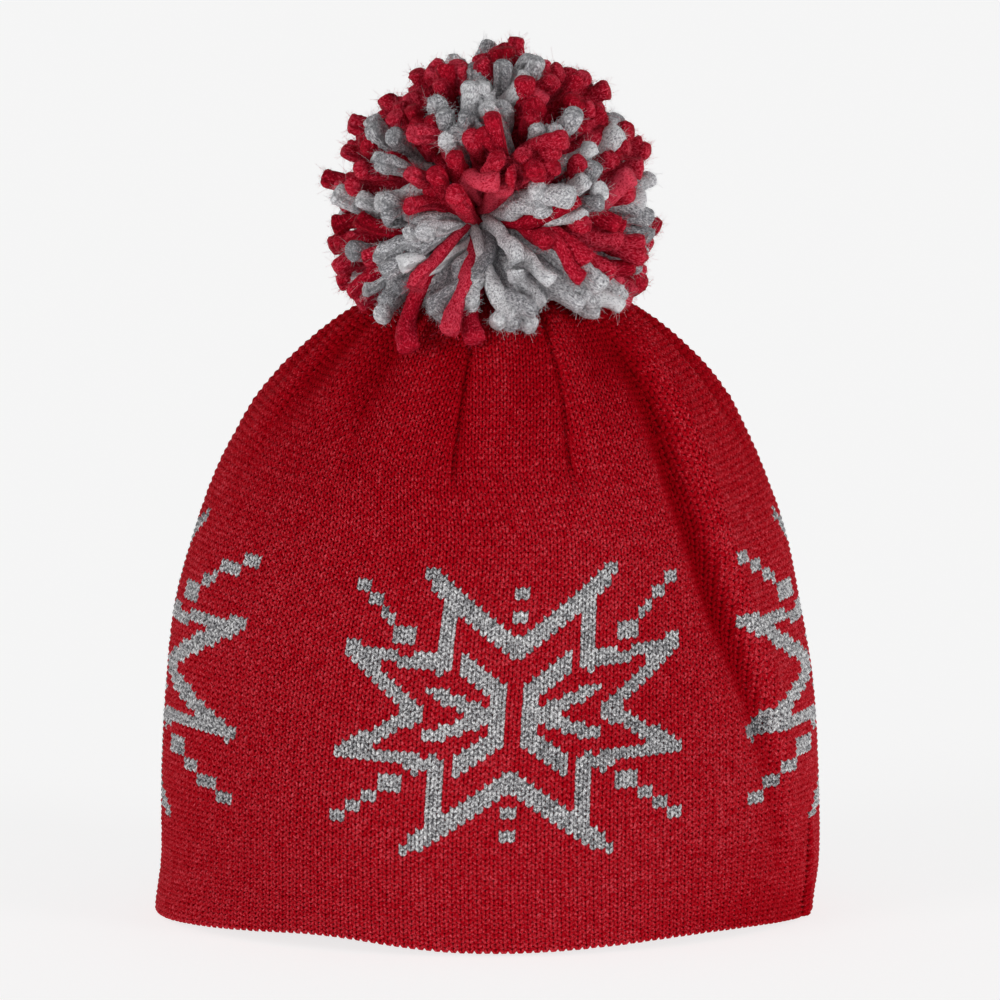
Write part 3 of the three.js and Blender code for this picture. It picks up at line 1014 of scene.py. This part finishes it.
def new_material(name):
    """An empty material with its node tree and its shader."""
    material = bpy.data.materials.new(name)
    material.use_nodes = True
    return material, material.node_tree, material.node_tree.nodes["Principled BSDF"]


def set_inputs(node, values):
    """Sets a node's own sockets."""
    for name, value in values.items():
        node.inputs[name].default_value = value


def add_colour_ramp(tree, value, shader, dark, middle, light, spread):
    """Colours the shader from dark through middle to light, within a spread either side of a half."""
    ramp = tree.nodes.new("ShaderNodeValToRGB")
    ramp.color_ramp.elements[0].position = 0.5 - spread
    ramp.color_ramp.elements[0].color = linear(dark)
    ramp.color_ramp.elements[1].position = 0.5 + spread
    ramp.color_ramp.elements[1].color = linear(light)
    mid = ramp.color_ramp.elements.new(0.5)
    mid.color = linear(middle)
    tree.links.new(value, ramp.inputs["Fac"])
    tree.links.new(ramp.outputs["Color"], shader.inputs["Base Color"])


def add_bump(tree, height, shader, strength, distance):
    """A fine bump of the shader's surface."""
    bump = tree.nodes.new("ShaderNodeBump")
    set_inputs(bump, {"Strength": strength, "Distance": distance})
    tree.links.new(height, bump.inputs["Height"])
    tree.links.new(bump.outputs["Normal"], shader.inputs["Normal"])


def multiply_add(tree, value, factor):
    """A node that scales a value. Its third input is what it adds."""
    node = tree.nodes.new("ShaderNodeMath")
    node.operation = "MULTIPLY_ADD"
    node.inputs[1].default_value = factor
    tree.links.new(value, node.inputs[0])
    return node


def yarn_material(name, dark, middle, light, fibres_across, bump, gloss, spread, wool_scale):
    """Spun yarn: tone from piece to piece, with the painted shade that the tone attribute carries on the
    knit, fibres of mixed shade, woolly grain and a soft sheen.
    """
    material, tree, shader = new_material(name)
    set_inputs(shader, {
        "Roughness": 0.5,
        "Specular IOR Level": gloss,
        "Sheen Weight": 0.04,
        "Sheen Roughness": 0.45,
        "Sheen Tint": linear(light),
    })

    yarn = tree.nodes.new("ShaderNodeUVMap")
    yarn.uv_map = "Yarn"
    stretch = tree.nodes.new("ShaderNodeMapping")
    set_inputs(stretch, {"Scale": (*fibres_across, 1), "Rotation": (0, 0, 0.5)})
    tree.links.new(yarn.outputs["UV"], stretch.inputs["Vector"])
    fibres = tree.nodes.new("ShaderNodeTexNoise")
    set_inputs(fibres, {"Scale": 1, "Detail": 4})
    tree.links.new(stretch.outputs["Vector"], fibres.inputs["Vector"])

    place = tree.nodes.new("ShaderNodeTexCoord")
    wool = tree.nodes.new("ShaderNodeTexNoise")
    set_inputs(wool, {"Scale": wool_scale, "Detail": 3, "Roughness": 0.7})
    tree.links.new(place.outputs["Object"], wool.inputs["Vector"])
    grain = tree.nodes.new("ShaderNodeMath")
    grain.operation = "ADD"
    tree.links.new(fibres.outputs["Fac"], grain.inputs[0])
    tree.links.new(wool.outputs["Fac"], grain.inputs[1])

    # the tone attribute: random tone, and on the knit's stitches also painted shade in the folds and at the
    # crown
    tone = tree.nodes.new("ShaderNodeAttribute")
    tone.attribute_name = "tone"
    shift = multiply_add(tree, tone.outputs["Fac"], 0.7)
    shift.inputs[2].default_value = -0.65
    shade = multiply_add(tree, grain.outputs["Value"], 0.8)
    tree.links.new(shift.outputs["Value"], shade.inputs[2])
    add_colour_ramp(tree, shade.outputs["Value"], shader, dark, middle, light, spread)
    add_bump(tree, grain.outputs["Value"], shader, 1.0, bump)
    return material


def thread_material(name, dark, middle, light, scale):
    """Close-wound thread or plain knit, patterned in the object's own space."""
    material, tree, shader = new_material(name)
    set_inputs(shader, {"Roughness": 0.92, "Specular IOR Level": 0.2, "Sheen Weight": 0.15})

    place = tree.nodes.new("ShaderNodeTexCoord")
    strands = tree.nodes.new("ShaderNodeTexWave")
    strands.bands_direction = "DIAGONAL"
    set_inputs(strands, {"Scale": scale, "Distortion": 3, "Detail": 2})
    tree.links.new(place.outputs["Object"], strands.inputs["Vector"])
    add_colour_ramp(tree, strands.outputs["Fac"], shader, dark, middle, light, 0.5)
    add_bump(tree, strands.outputs["Fac"], shader, 0.6, 0.0003)
    return material


def floor_material():
    """A plain pale floor with a little glow of its own, so that shadows on it stay soft and light."""
    material, _, shader = new_material("floor_white")
    set_inputs(shader, {
        "Base Color": linear("#a8a8a8"),
        "Roughness": 0.9,
        "Specular IOR Level": 0,
        "Emission Color": (1, 1, 1, 1),
        "Emission Strength": FLOOR_GLOW,
    })
    return material


# ---- Camera, floor and light ----

def add_camera():
    """A long lens that looks at the front from a little above."""
    lens = bpy.data.cameras.new("camera")
    lens.sensor_width = SENSOR_WIDTH
    lens.lens = SENSOR_WIDTH * CAMERA_DISTANCE / VIEW_WIDTH
    camera = bpy.data.objects.new("camera", lens)
    bpy.context.collection.objects.link(camera)
    tilt = math.radians(CAMERA_ELEVATION)
    back = Vector((0, -math.cos(tilt), math.sin(tilt)))
    camera.location = AIM + back * CAMERA_DISTANCE
    camera.rotation_euler = (-back).to_track_quat("-Z", "Y").to_euler()
    bpy.context.scene.camera = camera


def add_floor():
    """A wide pale floor."""
    mesh = bpy.data.meshes.new("floor")
    corners = [(x * FLOOR_REACH, y * FLOOR_REACH, 0) for x, y in ((-1, -1), (1, -1), (1, 1), (-1, 1))]
    mesh.from_pydata(corners, [], [(0, 1, 2, 3)])
    floor = bpy.data.objects.new("floor", mesh)
    floor.location.z = FLOOR_DROP
    mesh.materials.append(floor_material())
    bpy.context.collection.objects.link(floor)


def add_light():
    """Studio light that fades towards overhead, and two soft low suns at the front's right and left."""
    world = bpy.data.worlds.new("studio")
    world.use_nodes = True
    nodes = world.node_tree.nodes
    links = world.node_tree.links
    direction = nodes.new("ShaderNodeTexCoord")
    height = nodes.new("ShaderNodeSeparateXYZ")
    shade = nodes.new("ShaderNodeValToRGB")
    for stop, level in zip(shade.color_ramp.elements, (LIGHT_AT_HORIZON, LIGHT_OVERHEAD)):
        stop.color = (level, level, level, 1)
    links.new(direction.outputs["Generated"], height.inputs["Vector"])
    links.new(height.outputs["Z"], shade.inputs["Fac"])
    links.new(shade.outputs["Color"], nodes["Background"].inputs["Color"])
    bpy.context.scene.world = world
    for name, strength, spread, place in SUNS:
        light = bpy.data.lights.new(name, "SUN")
        light.energy = strength
        light.angle = math.radians(spread)
        lamp = bpy.data.objects.new(name, light)
        lamp.rotation_euler = Vector(place).to_track_quat("Z", "Y").to_euler()
        bpy.context.collection.objects.link(lamp)
    bpy.context.scene.view_settings.view_transform = "Standard"


# ---- The scene ----

add_camera()
add_floor()
add_light()

knit_red = yarn_material("knit_red", "#8e0009", "#b20015", "#f05e6b", (23, 4), 0.0003, 0.02, 0.26, 1500)
knit_grey = yarn_material("knit_grey", "#3c3b3f", "#aaa8ab", "#ffffff", (20, 3.5), 0.0004, 0.12, 0.13, 1200)
pompom_red = yarn_material("pompom_red", "#860214", "#b90c29", "#e44a60", (42, 50), 0.0008, 0.05, 0.18, 1100)
pompom_grey = yarn_material(
    "pompom_grey", "#7c7c80", "#bcbbbf", "#efeff1", (42, 50), 0.0008, 0.05, 0.16, 1100
)
lining_red = thread_material("lining_red", "#6a0009", "#860210", "#9c0a1c", 220)
seam_thread = thread_material("seam_thread", "#5a0a14", "#7d1120", "#9c2433", 420)
cord_yarn = thread_material("cord_yarn", "#84101f", "#ab1a2f", "#c93a4d", 420)

gores, offsets, courses, grey = stitch_places()
red_stitches = stitches("knit_red_stitches", gores[~grey], offsets[~grey], courses[~grey], knit_red, 1)
grey_stitches = stitches("knit_grey_stitches", gores[grey], offsets[grey], courses[grey], knit_grey, 2)
lining = knit_lining(lining_red)
for piece, slot_name in (
    (red_stitches, "knit_red"),
    (grey_stitches, "yarn_grey"),
    (lining, "knit_red"),
):
    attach(piece, "hat")
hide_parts("knit_body")

build_inner_seams(seam_thread)
build_pompom(pompom_red, pompom_grey)

for name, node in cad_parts.items():
    if "thread" in name:
        node.data.materials.clear()
        node.data.materials.append(seam_thread)
    elif name in ("anchor_knot", "anchor_cord", "tail_flex", "pompom_tails", "pompom_tie"):
        node.data.materials.clear()
        node.data.materials.append(cord_yarn)
